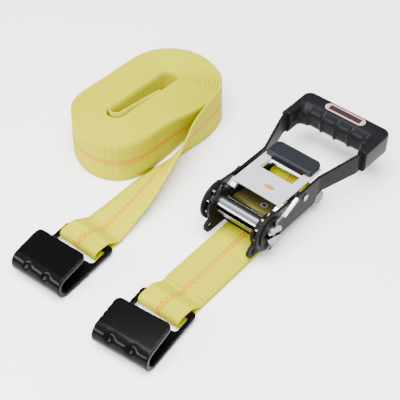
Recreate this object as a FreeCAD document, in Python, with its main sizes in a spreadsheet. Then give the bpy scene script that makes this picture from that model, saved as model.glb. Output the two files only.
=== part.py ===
import FreeCAD, Part
import math
import os
import Sketcher

# Ratchet tie down: a wide-handle ratchet with its sewn short strap and flat hook, and a rolled long
# strap with a second flat hook, laid out side by side on one surface.
# Working frame: X along the ratchet towards the grip, Y along the spool, Z up, millimetres. The
# spool axis is at X = 0, Y = 0; origin_x and origin_y then move every piece so that the document's
# origin is at the centre of the whole set's footprint, on the surface that it lies on.

doc = FreeCAD.newDocument("RatchetTieDown")
sheet = doc.addObject("Spreadsheet::Sheet", "Sizes")

SIZES = [
    ("origin_x", 6.864), ("origin_y", -95.0),
    # webbing
    ("ply", 2.0), ("web_width", 50.0),
    # frame, a U channel of sheet
    ("base_z", 6.4), ("sheet_thick", 3.0), ("frame_inside", 52.0), ("floor_front", 5.0),
    ("floor_rear", 66.0), ("frame_top", 30.0), ("foot_x", -16.6), ("foot_radius", 8.0),
    ("foot_hole_radius", 3.3), ("tail_x", 82.0), ("tail_height", 13.5), ("tail_radius", 9.0),
    # spool
    ("spool_height", 27.0), ("spool_radius", 10.5), ("spool_slot", 4.4), ("spool_length", 84.0),
    ("slot_angle", 162.0), ("tooth_count", 10.0), ("wheel_tip", 19.0), ("wheel_root", 14.8),
    ("wheel_thick", 3.2), ("wheel_y", 31.0), ("washer_radius", 16.8), ("washer_thick", 1.5),
    ("washer_y", 37.05), ("cotter_radius", 1.8), ("cotter_y", 39.8), ("cotter_length", 27.0),
    # pawls: each slides along a ray from the spool axis
    ("drive_angle", 24.0), ("lock_angle", -12.0), ("pawl_thick", 4.0), ("pawl_nose", 19.7),
    ("pawl_travel_out", 3.0), ("pawl_travel_in", 3.5), ("slot_gap", 0.3),
    ("drive_neck_end", 30.0), ("drive_ear_end", 43.0), ("drive_bar_start", 28.0), ("drive_bar_end", 35.5),
    ("drive_width", 77.4), ("ear_inside", 72.6), ("lock_ear_end", 34.0), ("lock_bar_end", 50.0),
    ("lock_width", 65.4), ("lock_spring_room", 12.0),
    # finger plate of the drive pawl
    ("finger_front", 21.0), ("finger_fold", 53.0), ("finger_end", 90.0), ("finger_width", 60.0),
    ("finger_top", 43.4), ("finger_thick", 1.8), ("window_width", 41.0), ("flange_depth", 3.4),
    ("bar_front", 72.0), ("bar_rear", 94.0), ("bar_bottom", 40.5), ("bar_top", 49.5),
    ("bar_width", 57.0),
    # handle
    ("handle_inside", 66.0), ("hub_radius", 21.5),
    ("strip_top", 42.8), ("strip_bottom", 12.0), ("strip_end", 74.0), ("flare_start", 80.0),
    ("flare_end", 126.0), ("arm_half_width", 48.0), ("arm_end", 160.0), ("arm_bottom", 26.0),
    ("arm_top", 49.0), ("rod_x", 55.0), ("rod_height", 34.0), ("rod_radius", 2.5),
    # grip
    ("grip_outer", 181.0), ("grip_inner", 153.0), ("grip_half_width", 54.0), ("grip_leg", 133.0),
    ("grip_leg_thick", 10.5), ("grip_bottom", 24.0), ("grip_top", 50.0), ("grip_corner", 9.0),
    ("groove_depth", 2.2), ("groove_margin", 8.0), ("label_length", 50.0), ("label_width", 11.5),
    ("rivet_front", 136.0), ("rivet_rear", 143.0), ("rivet_height", 37.0), ("rivet_radius", 3.0),
    ("rivet_head", 1.2),
    # tail bolt
    ("bolt_radius", 4.0), ("bolt_head_radius", 7.5), ("bolt_head_thick", 6.5),
    ("spacer_radius", 6.0), ("loop_radius", 8.4), ("nut_radius", 7.0), ("nut_thick", 6.0),
    # flat hooks
    ("hook_width", 62.0), ("hook_thick", 5.0), ("hook_bend", 13.0), ("hook_tongue", 42.6),
    ("tongue_rise", 3.3), ("hook_slot_front", 51.5), ("hook_slot_width", 53.0),
    ("hook_bar_x", 75.5), ("hook_bar_half", 3.6), ("hook_tilt", 3.0), ("hook_bar_height", 6.52),
    ("short_hook_x", -115.6), ("short_hook_y", -6.6), ("short_hook_turn", 6.9),
    ("long_hook_x", -105.6), ("long_hook_y", 110.5), ("long_hook_turn", 3.7),
    ("strap_turn", 1.9), ("overlap_end", -90.6),
    # rolled long strap
    ("coil_x", 62.0), ("coil_y", 192.0), ("coil_half", 41.0), ("coil_radius", 52.0),
    ("coil_height", 50.0), ("coil_hollow", 6.0),
]

value = {}
for row, (name, number) in enumerate(SIZES, start=1):
    sheet.set("A%d" % row, name)
    sheet.set("B%d" % row, str(number))
    sheet.setAlias("B%d" % row, name)
    value[name] = number
doc.recompute()

V = FreeCAD.Vector
Y_AXIS = V(0, 1, 0)
Z_AXIS = V(0, 0, 1)
nodes = []


def polar(radius, degrees, centre=(0.0, 0.0)):
    """A point at a radius and angle about a centre."""
    turn = math.radians(degrees)
    return (centre[0] + radius * math.cos(turn), centre[1] + radius * math.sin(turn))


def rounded(corners):
    """Line and arc edges of a closed outline. A corner is (x, y) or (x, y, fillet radius)."""
    pieces = []
    ends = []
    count = len(corners)
    for index, corner in enumerate(corners):
        point = V(corner[0], corner[1], 0)
        radius = corner[2] if len(corner) > 2 else 0
        if not radius:
            ends.append((point, point, None))
            continue
        before = V(*corners[index - 1][:2], 0) - point
        after = V(*corners[(index + 1) % count][:2], 0) - point
        before.normalize()
        after.normalize()
        half = before.getAngle(after) / 2
        back = radius / math.tan(half)
        middle = before + after
        middle.normalize()
        centre = point + middle * (radius / math.sin(half))
        ends.append((point + before * back, point + after * back, centre - middle * radius))
    for index, (start, end, mid) in enumerate(ends):
        if mid is not None:
            pieces.append(Part.Arc(start, mid, end))
        following = ends[(index + 1) % count][0]
        if end.distanceToPoint(following) > 1e-6:
            pieces.append(Part.LineSegment(end, following))
    return pieces


def origin_plane(body, role):
    """One of a body's own origin planes."""
    return [item for item in body.Origin.OriginFeatures if item.Role == role][0]


def add_sketch(body, name, role, edges, offset=0.0):
    """A sketch of given edges on one of the body's origin planes."""
    sketch = body.newObject("Sketcher::SketchObject", name)
    sketch.AttachmentSupport = (origin_plane(body, role), [""])
    sketch.MapMode = "FlatFace"
    sketch.AttachmentOffset = FreeCAD.Placement(V(0, 0, offset), FreeCAD.Rotation())
    for edge in edges:
        sketch.addGeometry(edge, False)
    return sketch


def circle(x, y, radius):
    return Part.Circle(V(x, y, 0), Z_AXIS, radius)


def new_body(name):
    return doc.addObject("PartDesign::Body", name)


def pad(body, name, role, edges, length, midplane=True):
    """A pad of a closed outline; length is a number or an expression on the sheet."""
    sketch = add_sketch(body, name + "Sketch", role, edges)
    feature = body.newObject("PartDesign::Pad", name)
    feature.Profile = sketch
    feature.Midplane = midplane
    feature.setExpression("Length", str(length))
    sketch.Visibility = False
    return feature


def pocket(body, name, role, edges, length):
    """A pocket cut both ways from one of the body's origin planes."""
    sketch = add_sketch(body, name + "Sketch", role, edges)
    feature = body.newObject("PartDesign::Pocket", name)
    feature.Profile = sketch
    feature.Midplane = True
    feature.setExpression("Length", str(length))
    return feature


def place(obj, x="0", y="0", z="0", turn=0.0, axis=Y_AXIS):
    """Put a finished sub-part in the set's frame; x, y and z are expressions on the sheet."""
    obj.Placement = FreeCAD.Placement(V(0, 0, 0), FreeCAD.Rotation(axis, turn))
    obj.setExpression(".Placement.Base.x", "Sizes.origin_x + (%s)" % x)
    obj.setExpression(".Placement.Base.y", "Sizes.origin_y + (%s)" % y)
    obj.setExpression(".Placement.Base.z", str(z))
    return obj


def keep(obj, label):
    """Name a finished sub-part; its label names its file."""
    obj.Label = label
    nodes.append(obj)
    return obj


def feature_from(shape, name):
    """A shape that neither a body nor a primitive describes simply."""
    obj = doc.addObject("Part::Feature", name)
    obj.Shape = shape
    return obj


def box(name, x0, x1, y0, y1, z0, z1):
    obj = doc.addObject("Part::Box", name)
    obj.setExpression("Length", "(%s) - (%s)" % (x1, x0))
    obj.setExpression("Width", "(%s) - (%s)" % (y1, y0))
    obj.setExpression("Height", "(%s) - (%s)" % (z1, z0))
    obj.setExpression(".Placement.Base.x", str(x0))
    obj.setExpression(".Placement.Base.y", str(y0))
    obj.setExpression(".Placement.Base.z", str(z0))
    return obj


def rod(name, radius, length, x="0", y="0", z="0", tilt=(1, 0, 0), degrees=-90.0):
    """A cylinder from a start point; with no turn given it runs along +Y."""
    obj = doc.addObject("Part::Cylinder", name)
    obj.setExpression("Radius", str(radius))
    obj.setExpression("Height", str(length))
    obj.Placement = FreeCAD.Placement(V(0, 0, 0), FreeCAD.Rotation(V(*tilt), degrees))
    obj.setExpression(".Placement.Base.x", str(x))
    obj.setExpression(".Placement.Base.y", str(y))
    obj.setExpression(".Placement.Base.z", str(z))
    return obj


def join(name, parts):
    obj = doc.addObject("Part::MultiFuse", name)
    obj.Shapes = parts
    return obj


def cut(name, base, tool):
    obj = doc.addObject("Part::Cut", name)
    obj.Base = base
    obj.Tool = tool
    return obj


def group(name, parts):
    """Separate solids that share one node."""
    obj = doc.addObject("Part::Compound", name)
    obj.Links = parts
    return obj


SPOOL_Z = value["base_z"] + value["spool_height"]
SPOOL_LEVEL = "Sizes.base_z + Sizes.spool_height"
BASE = "Sizes.base_z"


# ---- frame ------------------------------------------------------------------------------------

def ray_slot(degrees, start, end, width, hub):
    """A straight slot along a ray from the spool axis."""
    turn = math.radians(degrees)
    along = V(math.cos(turn), math.sin(turn), 0)
    across = V(-math.sin(turn), math.cos(turn), 0)
    corners = []
    for distance, side in ((start, -1), (end, -1), (end, 1), (start, 1)):
        point = V(hub[0], hub[1], 0) + along * distance + across * (side * width / 2)
        corners.append((point.x, point.y, 0.8))
    return rounded(corners)


def cam_outline():
    """Side plate outline: foot, release lobe, low cam, closing notch, top edge and tail."""
    hub = (0.0, value["spool_height"])
    low, lobe, keeper = value["wheel_root"] + 0.8, value["wheel_tip"] + 0.1, value["wheel_tip"] - 0.7
    drive = value["drive_angle"]
    gap = value["pawl_thick"] / 2 + value["slot_gap"] + 0.2
    foot = (value["foot_x"], value["foot_radius"])
    tail = (value["tail_x"], value["tail_height"])
    notch = math.degrees(math.asin(gap / low))
    edges = []

    def arc(centre, radius, first, last):
        points = [polar(radius, angle, centre) for angle in (first, (first + last) / 2, last)]
        edges.append(Part.Arc(*[V(x, y, 0) for x, y in points]))
        return points[0], points[-1]

    stretches = [
        arc(foot, value["foot_radius"], 270, 100),
        arc(hub, lobe, 208, 152),
        arc(hub, low, 146, drive + notch + 9),
        arc(hub, keeper, drive + notch + 7, drive + notch - 1),
        arc(hub, low, drive + notch, drive - notch),
        ((24.0, value["frame_top"]), (60.0, value["frame_top"])),
        arc(tail, value["tail_radius"], 62, -62),
        ((value["floor_rear"], 0.0), (value["floor_rear"], 0.0)),
    ]
    for index, (start, end) in enumerate(stretches):
        if index in (5, 7) and start != end:
            edges.append(Part.LineSegment(V(*start, 0), V(*end, 0)))
        following = stretches[(index + 1) % len(stretches)][0]
        edges.append(Part.LineSegment(V(*end, 0), V(*following, 0)))
    return edges


def make_frame():
    hub = (0.0, value["spool_height"])
    front, rear, thick = value["floor_front"], value["floor_rear"], value["sheet_thick"]
    body = new_body("FrameBody")
    pad(body, "FrameSides", "XZ_Plane", cam_outline(), "Sizes.frame_inside + 2 * Sizes.sheet_thick")
    far = 140.0
    inside = [(-far, -far), (front, -far), (front, thick), (rear, thick), (rear, -far),
              (far, -far), (far, far), (-far, far)]
    pocket(body, "FrameInside", "XZ_Plane", rounded(inside), "Sizes.frame_inside")
    holes = [circle(hub[0], hub[1], value["spool_radius"] + 0.08),
             circle(value["foot_x"], value["foot_radius"], value["foot_hole_radius"]),
             circle(value["tail_x"], value["tail_height"], value["bolt_radius"] + 0.1)]
    pocket(body, "FrameHoles", "XZ_Plane", holes, 100)
    slot = ray_slot(value["lock_angle"],
                    value["pawl_nose"] - value["pawl_travel_in"] - value["slot_gap"],
                    value["lock_ear_end"] + value["pawl_travel_out"] + value["slot_gap"],
                    value["pawl_thick"] + 2 * value["slot_gap"], hub)
    pocket(body, "LockSlots", "XZ_Plane", slot, 100)
    place(body, z=BASE)
    keep(body, "frame")


def make_tail_fasteners():
    x = "Sizes.origin_x + Sizes.tail_x"
    z = "Sizes.base_z + Sizes.tail_height"
    outside = "(Sizes.frame_inside / 2 + Sizes.sheet_thick)"
    shank = rod("BoltShank", "Sizes.bolt_radius", "2 * %s + 9" % outside,
                x, "Sizes.origin_y - %s" % outside, z)
    head = rod("BoltHead", "Sizes.bolt_head_radius", "Sizes.bolt_head_thick",
               x, "Sizes.origin_y - %s - Sizes.bolt_head_thick" % outside, z)
    bolt = join("TailBolt", [shank, head])
    keep(bolt, "tail_bolt")
    nut = doc.addObject("Part::Prism", "NutBlank")
    nut.Polygon = 6
    nut.setExpression("Circumradius", "Sizes.nut_radius")
    nut.setExpression("Height", "Sizes.nut_thick")
    nut.Placement = FreeCAD.Placement(V(0, 0, 0), FreeCAD.Rotation(V(1, 0, 0), -90))
    nut.setExpression(".Placement.Base.x", x)
    nut.setExpression(".Placement.Base.y", "Sizes.origin_y + %s" % outside)
    nut.setExpression(".Placement.Base.z", z)
    keep(cut("TailNut", nut, shank), "tail_nut")
    sleeve = rod("SpacerOuter", "Sizes.spacer_radius", "Sizes.frame_inside - 0.4",
                 x, "Sizes.origin_y - Sizes.frame_inside / 2 + 0.2", z)
    bore = rod("SpacerBore", "Sizes.bolt_radius + 0.05", "Sizes.frame_inside",
               x, "Sizes.origin_y - Sizes.frame_inside / 2", z)
    keep(cut("StrapSpacer", sleeve, bore), "strap_spacer")


# ---- spool ------------------------------------------------------------------------------------

def make_spool():
    radius = value["spool_radius"]
    offset = value["spool_slot"] / 2
    reach = math.degrees(math.acos(offset / radius))
    pin_holes = {label: pin_hole_tool(label.title().replace("_", "") + "Holes")
                 for label in ("mandrel_upper", "mandrel_lower")}
    for label, side in (("mandrel_upper", -90), ("mandrel_lower", 90)):
        middle = value["slot_angle"] + side
        first, mid, last = [V(*polar(radius, middle + step), 0) for step in (-reach, 0, reach)]
        body = new_body(label.title().replace("_", ""))
        pad(body, label + "Bar", "XZ_Plane", [Part.Arc(first, mid, last),
                                              Part.LineSegment(last, first)], "Sizes.spool_length")
        place(body, z=SPOOL_LEVEL)
        keep(cut(label.title().replace("_", "") + "Drilled", body, pin_holes[label]), label)


def pin_axis():
    """Direction of the cotter pins: straight across the spool's slot."""
    turn = math.radians(value["slot_angle"] - 90)
    return V(math.cos(turn), 0, math.sin(turn))


def pin_hole_tool(name):
    """Both cotter pin holes, as one cutting tool."""
    along = pin_axis()
    holes = []
    for sign in (1, -1):
        start = V(0, sign * value["cotter_y"], 0) - along * 20
        holes.append(Part.makeCylinder(value["cotter_radius"] + 0.05, 40, start, along))
    return place(feature_from(Part.makeCompound(holes), name), z=SPOOL_LEVEL)


def wheel_outline():
    """Ratchet teeth: a steep face on one side of each notch and a slope on the other."""
    corners = []
    pitch = 360 / value["tooth_count"]
    tip, root = value["wheel_tip"], value["wheel_root"]
    for tooth in range(int(value["tooth_count"])):
        notch = value["drive_angle"] + tooth * pitch
        for radius, step in ((root, 10.5), (tip, 11.5), (tip, 16.5), (root, 25.5)):
            corners.append(polar(radius, notch + step))
    return rounded(corners)


def make_wheels_and_washers():
    for side, sign in (("left", 1), ("right", -1)):
        body = new_body("RatchetWheel" + side.title())
        pad(body, "Wheel" + side, "XZ_Plane", wheel_outline(), "Sizes.wheel_thick")
        pocket(body, "WheelBore" + side, "XZ_Plane", [circle(0, 0, value["spool_radius"] + 0.05)], 10)
        place(body, y="%d * Sizes.wheel_y" % sign, z=SPOOL_LEVEL)
        keep(body, "ratchet_wheel_" + side)
        washer = new_body("HubWasher" + side.title())
        pad(washer, "Washer" + side, "XZ_Plane", [circle(0, 0, value["washer_radius"])],
            "Sizes.washer_thick")
        pocket(washer, "WasherBore" + side, "XZ_Plane",
               [circle(0, 0, value["spool_radius"] + 0.05)], 10)
        place(washer, y="%d * Sizes.washer_y" % sign, z=SPOOL_LEVEL)
        keep(washer, "hub_washer_" + side)
        make_cotter(side, sign)


def make_cotter(side, sign):
    """A pin through both bars of the spool, with a ring head and one bent leg."""
    turn = math.radians(value["slot_angle"] - 90)
    along = pin_axis()
    half = value["cotter_length"] / 2
    centre = V(0, sign * value["cotter_y"], 0)
    radius = value["cotter_radius"]
    shaft = Part.makeCylinder(radius, 2 * half, centre - along * half, along)
    ring = Part.makeTorus(radius + 1.4, 1.1, centre - along * (half + 1.6), Y_AXIS)
    leg_way = V(math.cos(turn - 0.9), 0, math.sin(turn - 0.9))
    leg = Part.makeCylinder(1.2, 8, centre + along * (half - 1.2), leg_way)
    pin = shaft.fuse([ring, leg]).removeSplitter()
    obj = feature_from(pin, "CotterPin" + side.title())
    place(obj, z=SPOOL_LEVEL)
    keep(obj, "cotter_pin_" + side)


# ---- pawls ------------------------------------------------------------------------------------

def ray_box(name, start, end, y0, y1, thick, degrees):
    """A block along a ray from the spool axis, in the set's frame."""
    obj = doc.addObject("Part::Box", name)
    obj.setExpression("Length", "(%s) - (%s)" % (end, start))
    obj.setExpression("Width", "(%s) - (%s)" % (y1, y0))
    obj.setExpression("Height", thick)
    turn = math.radians(degrees)
    obj.Placement = FreeCAD.Placement(V(0, 0, 0), FreeCAD.Rotation(Y_AXIS, -degrees))
    along, drop = math.cos(turn), math.sin(turn)
    obj.setExpression(".Placement.Base.x", "Sizes.origin_x + (%s) * %.6f + (%s) / 2 * %.6f"
                      % (start, along, thick, drop))
    obj.setExpression(".Placement.Base.y", "Sizes.origin_y + (%s)" % y0)
    obj.setExpression(".Placement.Base.z", "Sizes.base_z + Sizes.spool_height + (%s) * %.6f"
                      " - (%s) / 2 * %.6f" % (start, drop, thick, along))
    return obj


def make_lock_pawl():
    nose, ear, rear = "Sizes.pawl_nose", "Sizes.lock_ear_end", "Sizes.lock_bar_end"
    thick, angle = "Sizes.pawl_thick", value["lock_angle"]
    half = "Sizes.lock_width / 2"
    plate = ray_box("LockPlate", nose, rear, "-25.6", "25.6", thick, angle)
    ears = ray_box("LockEars", nose, ear, "-" + half, half, thick, angle)
    turn = math.radians(angle)
    start = value["lock_bar_end"] - 1
    base = V(value["origin_x"] + start * math.cos(turn), value["origin_y"],
             SPOOL_Z + start * math.sin(turn))
    tang = feature_from(Part.makeCylinder(1.5, 8, base, V(math.cos(turn), 0, math.sin(turn))),
                        "LockTang")
    keep(join("LockPawl", [plate, ears, tang]), "lock_pawl")

    room = rear + " + Sizes.lock_spring_room"
    bridge = ray_box("FrameBridge", room, room + " + 2.5", "-Sizes.frame_inside / 2",
                     "Sizes.frame_inside / 2", "11", angle)
    keep(bridge, "frame_bridge")
    way = V(math.cos(turn), 0, math.sin(turn))
    at = V(value["origin_x"], value["origin_y"], SPOOL_Z) + way * (value["lock_bar_end"] + 0.1)
    length = value["lock_spring_room"] - 0.2
    coil = Part.makeCylinder(3.6, length, at, way).cut(Part.makeCylinder(2.0, length, at, way))
    keep(feature_from(coil, "LockSpring"), "lock_pawl_spring")


def make_drive_pawl():
    nose, ear, rear = "Sizes.pawl_nose", "Sizes.drive_ear_end", "Sizes.drive_bar_end"
    thick, angle = "Sizes.pawl_thick", value["drive_angle"]
    inner = ray_box("DriveBar", "Sizes.drive_bar_start", rear, "-30", "30", thick, angle)
    necks = [ray_box("DriveNeckLeft", nose, "Sizes.drive_neck_end", "25",
                     "Sizes.ear_inside / 2", thick, angle),
             ray_box("DriveNeckRight", nose, "Sizes.drive_neck_end", "-Sizes.ear_inside / 2",
                     "-25", thick, angle)]
    tips = [ray_box("DriveEarLeft", nose + " + 1.1", ear, "Sizes.ear_inside / 2",
                    "Sizes.drive_width / 2", thick, angle),
            ray_box("DriveEarRight", nose + " + 1.1", ear, "-Sizes.drive_width / 2",
                    "-Sizes.ear_inside / 2", thick, angle)]
    top = "Sizes.base_z + Sizes.finger_top"
    under = "Sizes.base_z + Sizes.finger_top - Sizes.finger_thick"
    wide = "Sizes.finger_width / 2"
    plate = box("FingerPlate", "Sizes.origin_x + Sizes.finger_front",
                "Sizes.origin_x + Sizes.finger_end", "Sizes.origin_y - " + wide,
                "Sizes.origin_y + " + wide, under, top)
    window = box("FingerWindow", "Sizes.origin_x + Sizes.finger_fold", "Sizes.origin_x + 120",
                 "Sizes.origin_y - Sizes.window_width / 2", "Sizes.origin_y + Sizes.window_width / 2",
                 under + " - 1", top + " + 1")
    plate = cut("FingerFrame", plate, window)
    flanges = []
    for side, sign in (("Left", 1), ("Right", -1)):
        edge = "Sizes.window_width / 2" if sign > 0 else "-Sizes.window_width / 2 - 1.8"
        flanges.append(box("Flange" + side, "Sizes.origin_x + Sizes.finger_fold - 2",
                           "Sizes.origin_x + Sizes.finger_end", "Sizes.origin_y + " + edge,
                           "Sizes.origin_y + " + edge + " + 1.8",
                           under + " - Sizes.flange_depth", top))
    pawl = join("DrivePawl", [inner, plate] + necks + tips + flanges)
    keep(pawl, "drive_pawl")

    middle = (value["bar_bottom"] + value["bar_top"]) / 2
    half = value["bar_width"] / 2
    corners = [(value["bar_front"], -half, 3), (value["bar_rear"], -half, 7),
               (value["bar_rear"], half, 7), (value["bar_front"], half, 3)]
    body = new_body("PullBarBlank")
    pad(body, "PullBar", "XY_Plane", rounded(corners), "Sizes.bar_top - Sizes.bar_bottom")
    doc.recompute()
    rim = doc.addObject("Part::Fillet", "PullBarRounded")
    rim.Base = body
    rim.Edges = [(index + 1, 2.5, 2.5) for index, edge in enumerate(body.Shape.Edges)
                 if abs(edge.BoundBox.ZMin - edge.BoundBox.ZMax) < 1e-6
                 and edge.BoundBox.ZMin > 0]
    rim.Placement = FreeCAD.Placement(V(value["origin_x"], value["origin_y"],
                                        value["base_z"] + middle), FreeCAD.Rotation())
    keep(cut("PullBar", rim, pawl), "pull_bar")
    mark = doc.addObject("Part::Ellipse", "MarkOutline")
    mark.MajorRadius = 6.0
    mark.MinorRadius = 2.4
    doc.recompute()
    blank = Part.Face(Part.Wire(mark.Shape.Edges)).extrude(V(0, 0, 0.3))
    doc.removeObject(mark.Name)
    obj = feature_from(blank, "PawlMark")
    place(obj, x="Sizes.finger_front + 14", y="-6", z=top, turn=90, axis=Z_AXIS)
    keep(obj, "pawl_mark")


# ---- handle -----------------------------------------------------------------------------------

def plate_side_outline():
    """Handle plate seen from the side: hub, strip and the arm that runs into the grip."""
    top, bottom = value["strip_top"], value["strip_bottom"]
    hub = (0.0, value["spool_height"])
    radius = value["hub_radius"]
    start = polar(radius, 62, hub)
    low = -math.degrees(math.asin((hub[1] - bottom) / radius))
    end = polar(radius, low, hub)
    mid = polar(radius, 62 + (360 + low - 62) / 2, hub)
    arc = Part.Arc(V(*start, 0), V(*mid, 0), V(*end, 0))
    path = [end, (value["strip_end"] - 3, bottom), (value["strip_end"], bottom + 3),
            (value["strip_end"] + 4, value["arm_bottom"] - 2),
            (value["flare_end"], value["arm_bottom"]), (value["arm_end"], value["arm_bottom"] + 1),
            (value["arm_end"], value["arm_top"] - 1), (value["flare_end"], value["arm_top"]),
            (value["flare_start"], top + 0.6), (44.0, top), start]
    lines = [Part.LineSegment(V(*a, 0), V(*b, 0)) for a, b in zip(path[:-1], path[1:])]
    return [arc] + lines


def plate_plan_outline(sign):
    """Handle plate seen from above: straight beside the hub, flared out to the grip's legs."""
    inner = value["handle_inside"] / 2
    thick = value["sheet_thick"]
    wide = value["arm_half_width"] - thick / 2
    reach = value["arm_end"] + 5
    outline = [(-40, inner), (value["flare_start"], inner, 12), (value["flare_end"], wide, 15),
               (reach, wide), (reach, wide + thick), (value["flare_end"] - 1, wide + thick, 12),
               (value["flare_start"] - 1, inner + thick, 15), (-40, inner + thick)]
    return rounded([(item[0], sign * item[1]) + tuple(item[2:]) for item in outline])


def make_handle_plates():
    hub = (0.0, value["spool_height"])
    plates = []
    for side, sign in (("left", 1), ("right", -1)):
        name = "HandlePlate" + side.title()
        plan = new_body(name + "Plan")
        pad(plan, name + "PlanPad", "XY_Plane", plate_plan_outline(sign), 200)
        profile = new_body(name + "Side")
        pad(profile, name + "SidePad", "XZ_Plane", plate_side_outline(), 200)
        slot = ray_slot(value["drive_angle"],
                        value["pawl_nose"] - value["pawl_travel_in"] - value["slot_gap"],
                        value["drive_neck_end"] + value["pawl_travel_out"] + value["slot_gap"],
                        value["pawl_thick"] + 2 * value["slot_gap"], hub)
        pocket(profile, name + "Slot", "XZ_Plane", slot, 200)
        holes = [circle(hub[0], hub[1], value["spool_radius"] + 0.08),
                 circle(value["rod_x"], value["rod_height"], value["rod_radius"])]
        pocket(profile, name + "Holes", "XZ_Plane", holes, 200)
        both = doc.addObject("Part::Common", name)
        both.Base = plan
        both.Tool = profile
        place(both, z=BASE)
        plates.append(keep(both, "handle_plate_" + side))
    return plates


def make_handle_rod():
    """The rod that ties the plates, its two heads, and the torsion springs on it."""
    x = "Sizes.origin_x + Sizes.rod_x"
    z = "Sizes.base_z + Sizes.rod_height"
    outer = "(Sizes.handle_inside / 2 + Sizes.sheet_thick)"
    shaft = rod("HandleRodShaft", "Sizes.rod_radius", "2 * " + outer, x,
                "Sizes.origin_y - " + outer, z)
    heads = []
    for side, start in (("Left", "Sizes.origin_y + " + outer),
                        ("Right", "Sizes.origin_y - %s - 1.4" % outer)):
        heads.append(rod("RodHead" + side, "Sizes.rod_radius + 1.2", "1.4", x, start, z))
    keep(join("HandleRod", [shaft] + heads), "handle_rod")
    springs = []
    for side, start in (("Left", 8), ("Right", -20)):
        sleeve = rod("SpringOuter" + side, "Sizes.rod_radius + 2.2", "12", x,
                     "Sizes.origin_y + %d" % start, z)
        bore = rod("SpringBore" + side, "Sizes.rod_radius + 0.4", "12", x,
                   "Sizes.origin_y + %d" % start, z)
        springs.append(cut("DriveSpring" + side, sleeve, bore))
    keep(group("DriveSprings", springs), "drive_pawl_springs")


def grip_outline():
    """Grip seen from above: a U with rounded outer corners and four finger grooves inside."""
    half, outer, leg = value["grip_half_width"], value["grip_outer"], value["grip_leg"]
    inner, thick, corner = value["grip_inner"], value["grip_leg_thick"], value["grip_corner"]
    inside = half - thick
    outline = [(leg, -half, 3), (outer, -half, corner), (outer, half, corner), (leg, half, 3),
               (leg, inside, 3), (inner, inside, 6)]
    reach = inside - value["groove_margin"]
    pitch = 2 * reach / 4
    deep = inner + value["groove_depth"]
    for finger in range(4):
        ridge = reach - finger * pitch
        outline += [(inner, ridge, 1), (deep, ridge - 0.2 * pitch, 3), (deep, ridge - 0.8 * pitch, 3)]
    outline += [(inner, -reach, 1), (inner, -inside, 6), (leg, -inside, 3)]
    return rounded(outline)


def make_grip_relief():
    """Waste above and below the finger grooves, so that the cross bar is rounder inside."""
    half = value["grip_half_width"] - value["grip_leg_thick"] - 1
    face = value["grip_inner"] - 1
    top, bottom = value["grip_top"] + 1, value["grip_bottom"] - 1
    wastes = []
    for corners in (((163.5, top), (face, top), (face, 41.0)),
                    ((face, 27.0), (face, bottom), (157.0, bottom))):
        points = [V(x, -half, z) for x, z in corners]
        wedge = Part.Face(Part.makePolygon(points + [points[0]]))
        wastes.append(wedge.extrude(V(0, 2 * half, 0)))
    return place(feature_from(Part.makeCompound(wastes), "GripRelief"), z=BASE)


def make_grip(plates):
    body = new_body("GripBlank")
    pad(body, "GripPad", "XY_Plane", grip_outline(), "Sizes.grip_top - Sizes.grip_bottom")
    doc.recompute()
    rounding = doc.addObject("Part::Fillet", "GripRounded")
    rounding.Base = body
    outside = value["grip_outer"] - 0.01
    rounding.Edges = [(index + 1, 4.0, 4.0) for index, edge in enumerate(body.Shape.Edges)
                      if edge.BoundBox.XMax > outside and edge.BoundBox.ZLength < 1e-6]
    middle = "Sizes.base_z + (Sizes.grip_top + Sizes.grip_bottom) / 2"
    place(rounding, z=middle)
    grip = cut("GripEased", rounding, make_grip_relief())
    grip = cut("GripOnce", grip, plates[0])
    grip = cut("HandleGrip", grip, plates[1])
    keep(grip, "handle_grip")
    half = (value["label_length"] - value["label_width"]) / 2
    radius = value["label_width"] / 2
    label = new_body("GripLabel")
    edges = [Part.LineSegment(V(-radius, half, 0), V(-radius, -half, 0)),
             Part.Arc(V(-radius, -half, 0), V(0, -half - radius, 0), V(radius, -half, 0)),
             Part.LineSegment(V(radius, -half, 0), V(radius, half, 0)),
             Part.Arc(V(radius, half, 0), V(0, half + radius, 0), V(-radius, half, 0))]
    pad(label, "LabelPad", "XY_Plane", edges, 0.4, midplane=False)
    place(label, x="Sizes.grip_outer - 10.2", y="-1", z="Sizes.base_z + Sizes.grip_top")
    keep(label, "grip_label")
    rivets = []
    inside = value["grip_half_width"] - value["grip_leg_thick"]
    for side, start in (("Left", inside - value["rivet_head"]), ("Right", -inside)):
        for end in ("front", "rear"):
            rivets.append(rod("GripRivet" + side + end.title(), "Sizes.rivet_radius", "Sizes.rivet_head",
                              "Sizes.origin_x + Sizes.rivet_" + end,
                              "Sizes.origin_y + %.2f" % start, "Sizes.base_z + Sizes.rivet_height"))
    keep(group("GripRivets", rivets), "grip_rivets")


# ---- flat hooks -------------------------------------------------------------------------------

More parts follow.
